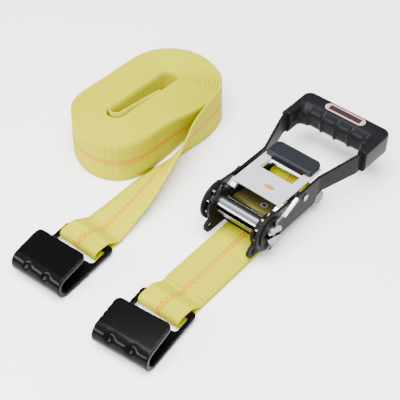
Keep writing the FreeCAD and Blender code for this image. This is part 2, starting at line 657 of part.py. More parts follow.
def hook_profile():
    """Hook seen from the side: plate on the surface, round bend, and tongue back over it.

    The origin is the middle of the slot bar, with X towards the bend, so the plate runs to +X here.
    """
    thick, bend = value["hook_thick"], value["hook_bend"]
    inner = bend - thick
    front = value["hook_bar_x"] - bend
    tip = value["hook_bar_x"] - value["hook_tongue"]
    low = -thick / 2
    centre = (front, low + bend)
    lean = math.degrees(math.atan2(value["tongue_rise"], front - tip))
    outer_end = polar(bend, 90 - lean, centre)
    inner_end = polar(inner, 90 - lean, centre)
    slope = math.tan(math.radians(lean))
    outer_tip = (tip, outer_end[1] + (outer_end[0] - tip) * slope)
    inner_tip = (tip, inner_end[1] + (inner_end[0] - tip) * slope)
    back = -value["hook_bar_half"]
    middle = (90 - lean - 90) / 2
    corners = [(back, low), (front, low), outer_end, outer_tip, inner_tip, inner_end,
               (front, low + thick), (back, low + thick)]
    points = [V(x, y, 0) for x, y in corners]
    return [Part.LineSegment(points[0], points[1]),
            Part.Arc(points[1], V(*polar(bend, middle, centre), 0), points[2]),
            Part.LineSegment(points[2], points[3]), Part.LineSegment(points[3], points[4]),
            Part.LineSegment(points[4], points[5]),
            Part.Arc(points[5], V(*polar(inner, middle, centre), 0), points[6]),
            Part.LineSegment(points[6], points[7]), Part.LineSegment(points[7], points[0])]


def make_hook(name, label, x, y, turn):
    body = new_body(name)
    pad(body, name + "Plate", "XZ_Plane", hook_profile(), "Sizes.hook_width")
    half = value["hook_slot_width"] / 2
    rear = value["hook_bar_half"]
    front = value["hook_bar_x"] - value["hook_slot_front"]
    slot = [(rear, -half, 2), (front, -half, 4), (front, half, 4), (rear, half, 2)]
    pocket(body, name + "Slot", "XY_Plane", rounded(slot), 8)
    corner = value["hook_width"] / 2
    tip = value["hook_bar_x"] - value["hook_tongue"]
    for side in (1, -1):
        pocket(body, "%sBack%d" % (name, side + 1), "XY_Plane",
               corner_outline(-rear, side * corner, 4.0, side), 8)
        sketch = add_sketch(body, "%sTipSketch%d" % (name, side + 1), "XY_Plane",
                            corner_outline(tip, side * corner, 6.0, side), offset=8.0)
        feature = body.newObject("PartDesign::Pocket", "%sTip%d" % (name, side + 1))
        feature.Profile = sketch
        feature.Reversed = True
        feature.Length = 40
    tilt = FreeCAD.Rotation(Y_AXIS, value["hook_tilt"])
    heading = FreeCAD.Rotation(Z_AXIS, 180 + turn)
    body.Placement = FreeCAD.Placement(V(0, 0, 0), heading.multiply(tilt))
    body.setExpression(".Placement.Base.x", "Sizes.origin_x + " + x)
    body.setExpression(".Placement.Base.y", "Sizes.origin_y + " + y)
    body.setExpression(".Placement.Base.z", "Sizes.hook_bar_height")
    keep(body, label)


def corner_outline(x, y, size, side):
    """The waste outside a rounded corner at (x, y), where the plate lies towards +X and -side Y."""
    inside = y - side * size
    mid = (x + size * (1 - math.sqrt(0.5)), inside + side * size * math.sqrt(0.5))
    return [Part.Arc(V(x, inside, 0), V(*mid, 0), V(x + size, y, 0)),
            Part.LineSegment(V(x + size, y, 0), V(x + size, y + side * 3, 0)),
            Part.LineSegment(V(x + size, y + side * 3, 0), V(x - 3, y + side * 3, 0)),
            Part.LineSegment(V(x - 3, y + side * 3, 0), V(x - 3, inside, 0)),
            Part.LineSegment(V(x - 3, inside, 0), V(x, inside, 0))]


# ---- webbing ----------------------------------------------------------------------------------

def hook_loop(bar):
    """Outline and opening of the sewn loop round a hook's bar, seen from the side.

    The bar's middle is at x = bar; the loop lies on the surface and the strap runs towards +X.
    """
    ply = value["ply"]
    height = 2 * (value["hook_bar_half"] + 0.9) + 2 * ply
    level = height / 2
    nose = bar - 9.0
    opening = level - ply
    rear = bar + 5.2
    hole = [Part.Arc(V(nose, ply, 0), V(nose - opening, level, 0), V(nose, height - ply, 0)),
            Part.LineSegment(V(nose, height - ply, 0), V(rear, height - ply, 0)),
            Part.LineSegment(V(rear, height - ply, 0), V(rear + 12, ply + 0.1, 0)),
            Part.LineSegment(V(rear + 12, ply + 0.1, 0), V(rear + 12, ply, 0)),
            Part.LineSegment(V(rear + 12, ply, 0), V(nose, ply, 0))]
    start = [Part.Arc(V(nose, 0, 0), V(nose - level, level, 0), V(nose, height, 0))]
    top = [(nose, height), (rear, height), (rear + 15, 2 * ply)]
    return start, top, hole


def side_solid(outline, hole, width):
    """An outline in X and Z, drawn flat, stood up and given a width along Y."""
    stand = FreeCAD.Placement(V(0, width / 2, 0), FreeCAD.Rotation(V(1, 0, 0), 90))
    solid = Part.Face(Part.Wire(Part.__sortEdges__([edge.toShape() for edge in outline])))
    solid = solid.extrude(V(0, 0, width))
    if hole:
        waste = Part.Face(Part.Wire(Part.__sortEdges__([edge.toShape() for edge in hole])))
        solid = solid.cut(waste.extrude(V(0, 0, width)))
    solid.Placement = stand.multiply(solid.Placement)
    return solid


def make_short_strap():
    """Two plies from the hook's bar to the tail bolt, with a third sewn on top of them.

    The webbing is three solids that meet face to face: the loop round the bar, the flat run and the
    loop round the bolt.
    """
    ply = value["ply"]
    bolt = (0.0, value["base_z"] + value["tail_height"])
    radius = value["loop_radius"]
    bar = -math.hypot(value["short_hook_x"] - value["tail_x"], value["short_hook_y"])
    start, top, hole = hook_loop(bar)
    overlap = value["overlap_end"] - value["tail_x"]
    three = 3 * ply
    rise = (-13.5, three)
    fall = (-24.0, 0.0)

    def tangent(point, side):
        """Where the line from a point touches the bolt loop, on one side."""
        dx, dy = bolt[0] - point[0], bolt[1] - point[1]
        far = math.hypot(dx, dy)
        angle = math.degrees(math.atan2(dy, dx)) + side * math.degrees(math.asin(radius / far))
        run = math.sqrt(far * far - radius * radius)
        return (point[0] + run * math.cos(math.radians(angle)),
                point[1] + run * math.sin(math.radians(angle)))

    upper, lower = tangent(rise, 1), tangent(fall, -1)
    path = top + [(overlap, 2 * ply), (overlap, three), rise, upper]
    edges = list(start)
    edges += [Part.LineSegment(V(*a, 0), V(*b, 0)) for a, b in zip(path[:-1], path[1:])]
    edges.append(Part.Arc(V(*upper, 0), V(*polar(radius, 20, bolt), 0), V(*lower, 0)))
    edges.append(Part.LineSegment(V(*lower, 0), V(*fall, 0)))
    edges.append(Part.LineSegment(V(*fall, 0), V(bar - 9.0, 0, 0)))
    solid = side_solid(edges, hole, value["web_width"])
    around = Part.makeCylinder(value["spacer_radius"] + 0.3, 80,
                               V(bolt[0], -40, bolt[1]), Y_AXIS)
    around.rotate(V(bolt[0], 0, bolt[1]), Z_AXIS, -value["strap_turn"])
    solid = solid.cut(around)
    flat_start = top[-1][0] + 0.8
    stretches = (("short_strap_hook_loop", bar - 30.0, flat_start),
                 ("short_strap", flat_start, fall[0]),
                 ("short_strap_bolt_loop", fall[0], 30.0))
    for label, low, high in stretches:
        stretch = solid.common(Part.makeBox(high - low, 80, 60, V(low, -40, -10)))
        obj = feature_from(stretch, label.title().replace("_", ""))
        place(obj, x="Sizes.tail_x", turn=value["strap_turn"], axis=Z_AXIS)
        keep(obj, label)

    rows = []
    first, last, count = overlap + 4, -30.0 - value["tail_x"], 14
    for row in range(count):
        x = first + (last - first) * row / (count - 1)
        rows.append(Part.makeBox(0.9, 44, 0.35, V(x, -22, three + 0.01)))
    stitches = feature_from(Part.makeCompound(rows), "ShortStrapStitches")
    place(stitches, x="Sizes.tail_x", turn=value["strap_turn"], axis=Z_AXIS)
    keep(stitches, "short_strap_stitches")


def coil_outline(radius):
    """The roll seen from above: two half circles joined by straight runs."""
    half = value["coil_half"]
    return [Part.Arc(V(half, -radius, 0), V(half + radius, 0, 0), V(half, radius, 0)),
            Part.LineSegment(V(half, radius, 0), V(-half, radius, 0)),
            Part.Arc(V(-half, radius, 0), V(-half - radius, 0, 0), V(-half, -radius, 0)),
            Part.LineSegment(V(-half, -radius, 0), V(half, -radius, 0))]


# Two edges of the long strap's free run, from its hook's bar: the edge that stays on the surface,
# the edge that turns upright, and the run's heading in degrees.
TAIL_SECTIONS = [
    ((27.0, 25.0, 0.0), (27.0, -25.0, 0.0), 0.0),
    ((47.6, 25.4, 0.0), (46.0, -22.6, 12.0), 1.0),
    ((72.6, 26.0, 0.0), (69.6, -20.6, 18.0), 2.0),
    ((101.6, 26.7, 0.0), (97.6, -16.1, 27.5), 6.0),
    ((131.6, 24.2, 0.0), (125.6, -9.8, 38.0), 8.0),
    ((151.6, 19.5, 0.0), (148.6, -1.8, 44.0), 8.0),
    ((169.6, 17.7, 0.0), (169.6, 6.7, 48.0), 8.0),
    ((203.6, 16.1, 0.0), (203.6, 16.4, 50.0), 12.0),
    ((232.6, 24.2, 0.0), (232.6, 24.6, 50.0), 30.0),
    ((249.6, 39.0, 0.0), (249.6, 39.0, 50.0), 50.0),
    ((259.2, 57.7, 0.0), (259.2, 57.7, 50.0), 71.0),
    ((262.7, 80.7, 0.0), (262.7, 80.7, 50.0), 90.0),
]


def make_long_strap():
    body = new_body("LongStrapCoil")
    pad(body, "CoilPad", "XY_Plane", coil_outline(value["coil_radius"]), "Sizes.coil_height",
        midplane=False)
    pocket(body, "CoilHollow", "XY_Plane", coil_outline(value["coil_hollow"]), 200)
    place(body, x="Sizes.coil_x", y="Sizes.coil_y")
    keep(body, "long_strap_coil")

    ply = value["ply"]
    start, top, hole = hook_loop(0.0)
    flat = 27.0
    path = top + [(flat, 2 * ply), (flat, 0.0), (-9.0, 0.0)]
    edges = list(start)
    edges += [Part.LineSegment(V(*a, 0), V(*b, 0)) for a, b in zip(path[:-1], path[1:])]
    loop = side_solid(edges, hole, value["web_width"])
    sections = []
    for low, high, way in TAIL_SECTIONS:
        low = V(*low)
        high = V(*high)
        heading = math.radians(way)
        side = V(math.cos(heading), math.sin(heading), 0).cross(high - low)
        side.normalize()
        side = side * ply
        points = [low, high, high - side, low - side]
        sections.append(Part.makePolygon(points + [points[0]]))
    run = Part.makeLoft(sections, True, True)
    tail = loop.fuse(run).removeSplitter()
    obj = feature_from(tail, "LongStrapTail")
    place(obj, x="Sizes.long_hook_x", y="Sizes.long_hook_y")
    keep(obj, "long_strap_tail")


# ---- build, check and write --------------------------------------------------------------------

make_frame()
make_tail_fasteners()
make_spool()
make_wheels_and_washers()
make_lock_pawl()
make_drive_pawl()
handle_plates = make_handle_plates()
make_handle_rod()
make_grip(handle_plates)
make_hook("ShortStrapHook", "short_strap_hook", "Sizes.short_hook_x", "Sizes.short_hook_y",
          value["short_hook_turn"])
make_hook("LongStrapHook", "long_strap_hook", "Sizes.long_hook_x", "Sizes.long_hook_y",
          value["long_hook_turn"])
make_short_strap()
make_long_strap()
doc.recompute()

for item in doc.Objects:
    if "Invalid" in item.State or "Error" in item.State:
        raise RuntimeError("%s failed: %s" % (item.Name, item.State))
os.makedirs("parts", exist_ok=True)
box_all = FreeCAD.BoundBox()
for item in nodes:
    shape = item.Shape
    if shape.isNull() or not shape.isValid() or not shape.Solids:
        raise RuntimeError("%s has no valid solid" % item.Label)
    box_all.add(shape.BoundBox)
    shape.exportStep("parts/%s.step" % item.Label)
    print("%-24s solids %d  volume %10.1f" % (item.Label, len(shape.Solids), shape.Volume))
print("set box", box_all)
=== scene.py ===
import math

import bmesh
import bpy
from mathutils import Matrix, Vector


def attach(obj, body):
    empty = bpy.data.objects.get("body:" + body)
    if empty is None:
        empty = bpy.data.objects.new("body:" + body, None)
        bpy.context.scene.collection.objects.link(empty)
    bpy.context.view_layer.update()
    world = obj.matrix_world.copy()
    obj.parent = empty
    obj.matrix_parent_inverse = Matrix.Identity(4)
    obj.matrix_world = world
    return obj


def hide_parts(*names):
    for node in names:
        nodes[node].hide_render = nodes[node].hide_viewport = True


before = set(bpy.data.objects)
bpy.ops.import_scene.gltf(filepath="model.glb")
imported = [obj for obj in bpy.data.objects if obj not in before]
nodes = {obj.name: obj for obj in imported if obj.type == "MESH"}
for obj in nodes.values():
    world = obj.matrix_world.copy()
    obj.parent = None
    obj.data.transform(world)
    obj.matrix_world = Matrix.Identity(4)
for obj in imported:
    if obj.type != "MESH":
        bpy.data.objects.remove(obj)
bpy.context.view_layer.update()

collection = bpy.context.scene.collection

# Shapes are drawn in millimetres in a frame whose origin is under the spool's axis, with X towards
# the grip. ORIGIN is where that point sits in the row frame. Lights and the floor are in metres.
ORIGIN = Vector((6.864, -95.0, 0.0))
MM = 0.001


def row(point):
    """A point in the row frame, in metres."""
    return (Vector(point) + ORIGIN) * MM


def add_object(name, data):
    obj = bpy.data.objects.new(name, data)
    collection.objects.link(obj)
    return obj


# ---- materials -----------------------------------------------------------------------------------

def new_material(name):
    made = bpy.data.materials.new(name)
    made.use_nodes = True
    tree = made.node_tree
    tree.nodes.clear()
    out = tree.nodes.new("ShaderNodeOutputMaterial")
    shader = tree.nodes.new("ShaderNodeBsdfPrincipled")
    tree.links.new(shader.outputs["BSDF"], out.inputs["Surface"])
    return made, tree, shader


def math_node(tree, kind, first, second=None, third=None):
    node = tree.nodes.new("ShaderNodeMath")
    node.operation = kind
    for index, value in enumerate((first, second, third)):
        if value is None:
            continue
        if isinstance(value, (int, float)):
            node.inputs[index].default_value = value
        else:
            tree.links.new(value, node.inputs[index])
    return node.outputs[0]


def mix_colour(tree, factor, first, second):
    node = tree.nodes.new("ShaderNodeMix")
    node.data_type = "RGBA"
    for socket, value in ((node.inputs["Factor"], factor), (node.inputs[6], first),
                          (node.inputs[7], second)):
        if isinstance(value, bpy.types.NodeSocket):
            tree.links.new(value, socket)
        elif isinstance(value, (int, float)):
            socket.default_value = value
        else:
            socket.default_value = (*value, 1.0)
    return node.outputs[2]


def noise_node(tree, scale, detail):
    node = tree.nodes.new("ShaderNodeTexNoise")
    node.inputs["Scale"].default_value = scale
    node.inputs["Detail"].default_value = detail
    return node


def object_axes(tree):
    """X, Y and Z of the object's own coordinates, which are the row frame's at rest."""
    where = tree.nodes.new("ShaderNodeTexCoord")
    split = tree.nodes.new("ShaderNodeSeparateXYZ")
    tree.links.new(where.outputs["Object"], split.inputs[0])
    return split.outputs


def hard_material(name, colour, metallic, roughness, edge=0.5, grain=0.0, grain_size=0.0006,
                  specular=0.14):
    """Metal or plastic with softly rounded edges (edge in millimetres) and an optional fine grain
    (grain_size in metres)."""
    made, tree, shader = new_material(name)
    shader.inputs["Base Color"].default_value = (*colour, 1.0)
    shader.inputs["Metallic"].default_value = metallic
    shader.inputs["Roughness"].default_value = roughness
    shader.inputs["Specular IOR Level"].default_value = specular
    rounded = tree.nodes.new("ShaderNodeBevel")
    rounded.samples = 4
    rounded.inputs["Radius"].default_value = edge * MM
    normal = rounded.outputs["Normal"]
    if grain:
        where = tree.nodes.new("ShaderNodeTexCoord")
        noise = noise_node(tree, 1.0 / grain_size, 3.0)
        tree.links.new(where.outputs["Object"], noise.inputs["Vector"])
        bump = tree.nodes.new("ShaderNodeBump")
        bump.inputs["Strength"].default_value = grain
        bump.inputs["Distance"].default_value = 0.0004
        tree.links.new(noise.outputs["Fac"], bump.inputs["Height"])
        tree.links.new(normal, bump.inputs["Normal"])
        normal = bump.outputs["Normal"]
    tree.links.new(normal, shader.inputs["Normal"])
    return made


# The weave and the two rows of marker yarn. Periods and offsets are in metres.
RIB_PERIOD, WARP_PERIOD, TWILL_PERIOD = 0.0021, 0.0030, 0.0042
TWILL_SLOPE = 0.6
MARKER_OFFSET, MARKER_HALF = 0.0016, 0.0010
DASH_PERIOD, DASH_CUT, DASH_STAGGER_MM = 0.0066, -0.75, 1.6
MARKER_SHOWS = 0.9
WEB_DARK = (0.33, 0.29, 0.0)
WEB_LIGHT = (0.46, 0.455, 0.0)
WEB_LINE = (0.50, 0.125, 0.0)


def webbing_material():
    """Yellow polyester webbing. UV is in metres: u along the webbing, v across it from its middle."""
    made, tree, shader = new_material("yellow_webbing")
    uv = tree.nodes.new("ShaderNodeUVMap")
    uv.uv_map = "web"
    split = tree.nodes.new("ShaderNodeSeparateXYZ")
    tree.links.new(uv.outputs["UV"], split.inputs[0])
    along, across = split.outputs[0], split.outputs[1]

    def calc(kind, *values):
        return math_node(tree, kind, *values)

    def wave(value, period):
        return calc("SINE", calc("MULTIPLY_ADD", value, 2 * math.pi / period, 0.0))

    rib = wave(along, RIB_PERIOD)
    warp = wave(across, WARP_PERIOD)
    twill = wave(calc("MULTIPLY_ADD", calc("ABSOLUTE", across), TWILL_SLOPE, along), TWILL_PERIOD)
    streak = noise_node(tree, 260.0, 2.0)
    streak.noise_dimensions = "1D"
    tree.links.new(along, streak.inputs["W"])

    weave = calc("MULTIPLY_ADD", rib, 0.5, calc("MULTIPLY", warp, 0.25))
    weave = calc("MULTIPLY_ADD", twill, 0.25, weave)
    shade = calc("ADD", calc("MULTIPLY_ADD", weave, 0.10, 0.5),
                 calc("MULTIPLY_ADD", streak.outputs["Fac"], 0.5, -0.25))
    colour = mix_colour(tree, shade, WEB_DARK, WEB_LIGHT)

    # Two rows of orange marker yarn, broken up as they pass under and over.
    off = calc("ABSOLUTE", calc("SUBTRACT", calc("ABSOLUTE", across), MARKER_OFFSET))
    line = calc("LESS_THAN", off, MARKER_HALF)
    side = calc("MULTIPLY", calc("SIGN", across), DASH_STAGGER_MM)
    dash = calc("GREATER_THAN", wave(calc("MULTIPLY_ADD", side, MM, along), DASH_PERIOD), DASH_CUT)
    line = calc("MULTIPLY", calc("MULTIPLY", line, dash), MARKER_SHOWS)
    colour = mix_colour(tree, line, colour, WEB_LINE)
    tree.links.new(colour, shader.inputs["Base Color"])
    shader.inputs["Roughness"].default_value = 0.62
    shader.inputs["Specular IOR Level"].default_value = 0.06
    shader.inputs["Subsurface Weight"].default_value = 0.15
    shader.inputs["Subsurface Radius"].default_value = (0.004, 0.003, 0.001)
    bump = tree.nodes.new("ShaderNodeBump")
    bump.inputs["Strength"].default_value = 0.5
    bump.inputs["Distance"].default_value = 0.0005
    tree.links.new(weave, bump.inputs["Height"])
    tree.links.new(bump.outputs["Normal"], shader.inputs["Normal"])
    return made


# The ring on the lock pawl, with its radii in millimetres: a bright ring round a dark disc of painted
# shade that stands for a hole.
RING_PLACE = row((28.7, -5.7, 0.0))
RING_INNER, RING_OUTER = 2.2, 4.0
RING_BRIGHT = (0.60, 0.60, 0.58)
# The hole's near-black colour is painted shade, standing in for the hole's depth.
RING_HOLE_SHADE = (0.01, 0.01, 0.012)


def add_ring(made):
    """A bright ring round a dark disc of painted shade that stands for a hole, at a place in X and Y,
    in a material that is already made.
    """
    tree = made.node_tree
    shader = next(node for node in tree.nodes if node.type == "BSDF_PRINCIPLED")
    axes = object_axes(tree)
    squares = []
    for axis in (0, 1):
        off = math_node(tree, "SUBTRACT", axes[axis], RING_PLACE[axis])
        squares.append(math_node(tree, "MULTIPLY", off, off))
    away = math_node(tree, "SQRT", math_node(tree, "ADD", *squares))
    colour = tuple(shader.inputs["Base Color"].default_value)[:3]
    for radius, inside in ((RING_OUTER, RING_BRIGHT), (RING_INNER, RING_HOLE_SHADE)):
        colour = mix_colour(tree, math_node(tree, "LESS_THAN", away, radius * MM), colour, inside)
    tree.links.new(colour, shader.inputs["Base Color"])


# The grip's label: its middle, and half its dark band's width and length in metres.
LABEL_MIDDLE = row((170.8, -1.0, 0.0))
LABEL_BAND_HALF = (0.0038, 0.0200)
LABEL_PALE = (0.42, 0.25, 0.23)
LABEL_DARK = (0.022, 0.014, 0.014)


def label_material():
    """Pale film with a plain dark band along its middle."""
    made, tree, shader = new_material("label_plastic")
    axes = object_axes(tree)
    inside = []
    for axis, half in enumerate(LABEL_BAND_HALF):
        off = math_node(tree, "SUBTRACT", axes[axis], LABEL_MIDDLE[axis])
        inside.append(math_node(tree, "LESS_THAN", math_node(tree, "ABSOLUTE", off), half))
    band = math_node(tree, "MULTIPLY", *inside)
    colour = mix_colour(tree, band, LABEL_PALE, LABEL_DARK)
    tree.links.new(colour, shader.inputs["Base Color"])
    shader.inputs["Roughness"].default_value = 0.35
    return made


webbing = webbing_material()
black = hard_material("black_steel", (0.0070, 0.0056, 0.0049), 0.0, 0.45, 0.5, 0.25, 0.0008,
                      specular=0.07)
hook_black = hard_material("hook_steel", (0.0020, 0.0020, 0.0021), 0.0, 0.15, 0.8, 0.06, 0.001,
                           specular=0.07)
zinc = hard_material("zinc_steel", (0.19, 0.195, 0.20), 1.0, 0.22, 0.5)
zinc_dull = hard_material("zinc_steel_dull", (0.10, 0.10, 0.10), 1.0, 0.35, 0.5)
chrome = hard_material("chrome_plate", (0.80, 0.81, 0.86), 0.60, 0.24, 0.5)
# The lock pawl's olive-gold tint is a painted reflection of the yellow webbing.
zinc_with_painted_reflection = hard_material("lock_steel", (0.20, 0.18, 0.05), 0.8, 0.32, 0.5)
add_ring(zinc_with_painted_reflection)
grip_plastic = hard_material("grip_plastic", (0.0070, 0.0074, 0.0084), 0.0, 0.30, 0.5, 0.10, 0.0007,
                             specular=0.06)
bar_plastic = hard_material("bar_plastic", (0.011, 0.012, 0.015), 0.0, 0.38, 0.6)
label_plastic = label_material()
mark_ink = hard_material("mark_ink", (0.30, 0.16, 0.01), 0.0, 0.4, 0.1)
thread = hard_material("stitch_thread", (0.42, 0.37, 0.0), 0.0, 0.7, 0.2)

FINISH = {
    "frame": black, "frame_bridge": black, "handle_plate_left": black, "handle_plate_right": black,
    "grip_rivets": black, "hub_washer_left": black, "hub_washer_right": black,
    "strap_spacer": zinc, "lock_pawl_spring": zinc, "mandrel_upper": zinc, "mandrel_lower": zinc,
    "ratchet_wheel_left": zinc, "ratchet_wheel_right": zinc, "handle_rod": zinc,
    "drive_pawl_springs": zinc,
    "tail_bolt": zinc_dull, "tail_nut": zinc_dull, "cotter_pin_left": zinc_dull,
    "cotter_pin_right": zinc_dull,
    "drive_pawl": chrome, "lock_pawl": zinc_with_painted_reflection, "pull_bar": bar_plastic, "pawl_mark": mark_ink,
    "handle_grip": grip_plastic, "grip_label": label_plastic,
    "short_strap_hook": hook_black, "long_strap_hook": hook_black,
    "short_strap": webbing, "short_strap_hook_loop": webbing, "short_strap_bolt_loop": webbing,
    "long_strap_coil": webbing, "long_strap_tail": webbing, "short_strap_stitches": thread,
}
for name, node in nodes.items():
    node.data.materials.clear()
    node.data.materials.append(FINISH[name])


# ---- webbing ---------------------------------------------------------------------------------------

PLY = 1.9
LONG_PLY = 2.05
HALF = 25.0
ACROSS = 6
EDGE_START, EDGE_DEPTH = 0.985, 0.18

# The bar that each hook turns on, and the webbing's loop round it.
SHORT_BAR = (-115.6, -6.6, 0.0)
LONG_BAR = (-105.6, 110.5, 0.0)
LOOP_HEIGHT, LOOP_NOSE, LOOP_REAR = 12.8, 15.3, 5.0


def resample(points, step):
    """Evenly spaced points along a polyline."""
    lengths = [0.0]
    for first, second in zip(points[:-1], points[1:]):
        lengths.append(lengths[-1] + (second - first).length)
    count = max(2, int(round(lengths[-1] / step)))
    made = []
    index = 0
    for number in range(count + 1):
        target = lengths[-1] * number / count
        while index < len(points) - 2 and lengths[index + 1] < target:
            index += 1
        span = max(lengths[index + 1] - lengths[index], 1e-9)
        made.append(points[index].lerp(points[index + 1], (target - lengths[index]) / span))
    return made


def ease(points):
    """Eased corners; the two ends stay."""
    return ([points[0]]
            + [(a + b * 2 + c) / 4 for a, b, c in zip(points, points[1:], points[2:])]
            + [points[-1]])


def web_section():
    """Webbing's outline, as shares of its half width and of its thickness, with eased edges."""
    upper = [(-1 + 2 * index / ACROSS, 0.5) for index in range(ACROSS + 1)]
    upper[0], upper[-1] = (-EDGE_START, 0.5), (EDGE_START, 0.5)
    lower = [(place, -depth) for place, depth in reversed(upper)]
    return (upper + [(1.0, EDGE_DEPTH), (1.0, -EDGE_DEPTH)]
            + lower + [(-1.0, -EDGE_DEPTH), (-1.0, EDGE_DEPTH)])


def webbing_strip(name, left, right, normals, thickness):
    """A flat woven strip between two rails of points, and its length in metres."""
    middles = [(a + b) / 2 for a, b in zip(left, right)]
    lengths = [0.0]
    for first, second in zip(middles[:-1], middles[1:]):
        lengths.append(lengths[-1] + (second - first).length)
    section = web_section()
    ring = len(section)
    mesh = bmesh.new()
    layer = mesh.loops.layers.uv.new("web")
    rings = []
    for l, r, n in zip(left, right, normals):
        middle, reach = (l + r) / 2, (r - l) / 2
        rings.append([mesh.verts.new(row(middle + reach * place + n * (depth * thickness)))
                      for place, depth in section])

    def paint(face, corners):
        for loop, (u, v) in zip(face.loops, corners):
            loop[layer].uv = (u, v)

    for station in range(len(rings) - 1):
        for index in range(ring):
            nxt = (index + 1) % ring
            face = mesh.faces.new((rings[station][index], rings[station][nxt],
                                   rings[station + 1][nxt], rings[station + 1][index]))
            face.smooth = True
            v0, v1 = section[index][0] * HALF * MM, section[nxt][0] * HALF * MM
            u0, u1 = lengths[station] * MM, lengths[station + 1] * MM
            paint(face, ((u0, v0), (u0, v1), (u1, v1), (u1, v0)))
    # The cut ends take a plain stretch of yarn, clear of the marker rows.
    plain_v = 0.01
    for ends, u in ((list(reversed(rings[0])), 0.0), (rings[-1], lengths[-1] * MM)):
        face = mesh.faces.new(ends)
        paint(face, [(u, plain_v)] * ring)
    bmesh.ops.recalc_face_normals(mesh, faces=mesh.faces)
    data = bpy.data.meshes.new(name)
    mesh.to_mesh(data)
    mesh.free()
    obj = add_object(name, data)
    data.materials.append(webbing)
    return obj, lengths[-1] * MM


def loop_round_bar(bar_x):
    """Side profile of webbing round a hook's bar, from the lower ply at +X to the upper ply."""
    middle = LOOP_HEIGHT / 2
    radius = middle - PLY / 2
    centre = bar_x - LOOP_NOSE + middle
    points = [(bar_x + 24, PLY / 2)]
    points += [(centre + radius * math.cos(turn), middle + radius * math.sin(turn))
               for turn in [math.radians(270 - 10 * step) for step in range(19)]]
    points += [(bar_x + LOOP_REAR, LOOP_HEIGHT - PLY / 2),
               (bar_x + LOOP_REAR + 15, PLY * 1.5 + 0.2)]
    return points


def flat_rails(profile):
    """Rails and normals of a strip that keeps its width along Y, from its side profile."""
    points = ease(resample([Vector((x, 0, z)) for x, z in profile], 2.0))
    normals = []
    for index in range(len(points)):
        way = points[min(index + 1, len(points) - 1)] - points[max(index - 1, 0)]
        normals.append(Vector((-way.z, 0, way.x)).normalized())
    left = [point + Vector((0, HALF, 0)) for point in points]
    right = [point - Vector((0, HALF, 0)) for point in points]
    return left, right, normals


# The short strap, along X from the tail bolt, then turned and moved to the bolt's place.
BOLT_X, BOLT_HEIGHT, BOLT_LOOP = 82, 19.9, 7.4
SHORT_LOOP_BAR = -197.7
SEWN_END = -172.6
SHORT_TURN = 1.9


def make_short_strap():
    """Middle ply to the hook, round its bar, back along the floor, round the bolt, and the top ply."""
    half = PLY / 2
    path = [(-18.0, half * 3), (SHORT_LOOP_BAR + 32, half * 3)]
    path += list(reversed(loop_round_bar(SHORT_LOOP_BAR)))
    path += [(-24.0, half)]
    path += [(BOLT_LOOP * math.cos(turn), BOLT_HEIGHT + BOLT_LOOP * math.sin(turn))
             for turn in [math.radians(-66 + 8 * step) for step in range(29)]]
    path += [(-13.0, half * 5), (SEWN_END, half * 5)]
    left, right, normals = flat_rails(path)
    turn = Matrix.Rotation(math.radians(SHORT_TURN), 4, "Z")
    shift = Vector((BOLT_X, 0, 0))
    left = [turn @ point + shift for point in left]
    right = [turn @ point + shift for point in right]
    normals = [turn @ normal for normal in normals]
    obj, length = webbing_strip("short_strap_webbing", left, right, normals, PLY)
    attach(obj, "base")
    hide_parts("short_strap", "short_strap_hook_loop", "short_strap_bolt_loop")


LONG_LOOP_Y = 111.3
# Rails of the long strap's free run, from flat on the surface behind its hook to upright beside the
# roll: the edge that stays low, then the edge that rises.
LOW_RAIL = [(-84, 136.2, 1.0), (-66, 136.4, 1.0), (-50, 136.8, 1.0), (-33, 137.3, 1.0),
            (-4, 138.0, 1.0), (26, 135.5, 1.0), (46, 131.3, 1.0), (64, 129.6, 1.0),
            (98, 128.0, 1.0), (127, 135.5, 1.0), (143, 149.6, 1.0), (152.4, 168, 1.0)]
HIGH_RAIL = [(-84, 86.4, 2.9), (-66, 87.4, 9.0), (-50, 89.0, 13.5), (-35, 90.2, 18.0),
             (-8, 95.2, 27.5), (18, 101.0, 38.0), (40, 108.3, 44.0), (62, 117.2, 48.5),
             (98, 127.8, 50.0), (127, 136.0, 50.0), (143, 149.6, 50.0), (152.4, 168, 50.0)]
RAIL_STEPS = 12

# The roll: two straight sides and two round ends, wound inwards from where the free run joins it.
ROLL = Vector((62.0, 192.0, 0.0))
ROLL_HALF = 41.0
ROLL_RADIUS = 53.4
ROLL_TURNS = 20
ROLL_STEPS = 112
ROLL_START = 0.0267
HOLLOW = 10.0
CURL_START, CURL_END, CURL_DEPTH = 19.5, 19.87, 8.0
# Where plies bulge or draw in round the left end, by direction in degrees, and by how much.
BULGE_AT, BULGE_SPREAD, BULGE_OUT = 225, 34, 5.5
DRAWN_AT, DRAWN_SPREAD, DRAWN_IN = 148, 30, 4.5
# Where the front's plies lean, by X, and how far their feet go in and their tops go out.
LEAN_AT, LEAN_SPREAD, LEAN_FOOT, LEAN_HEAD = 92, 34, 5.0, 11.0


def rail_curve(rail):
    """A smooth curve through a rail's points, short of its last one."""
    points = [Vector(point) for point in rail]
    padded = [points[0] * 2 - points[1]] + points + [points[-1] * 2 - points[-2]]
    made = []
    for index in range(1, len(padded) - 2):
        a, b, c, d = padded[index - 1:index + 3]
        for step in range(RAIL_STEPS):
            t = step / RAIL_STEPS
            made.append(0.5 * ((b * 2) + (c - a) * t + (a * 2 - b * 5 + c * 4 - d) * t * t
                               + (b * 3 - a - c * 3 + d) * t ** 3))
    return made


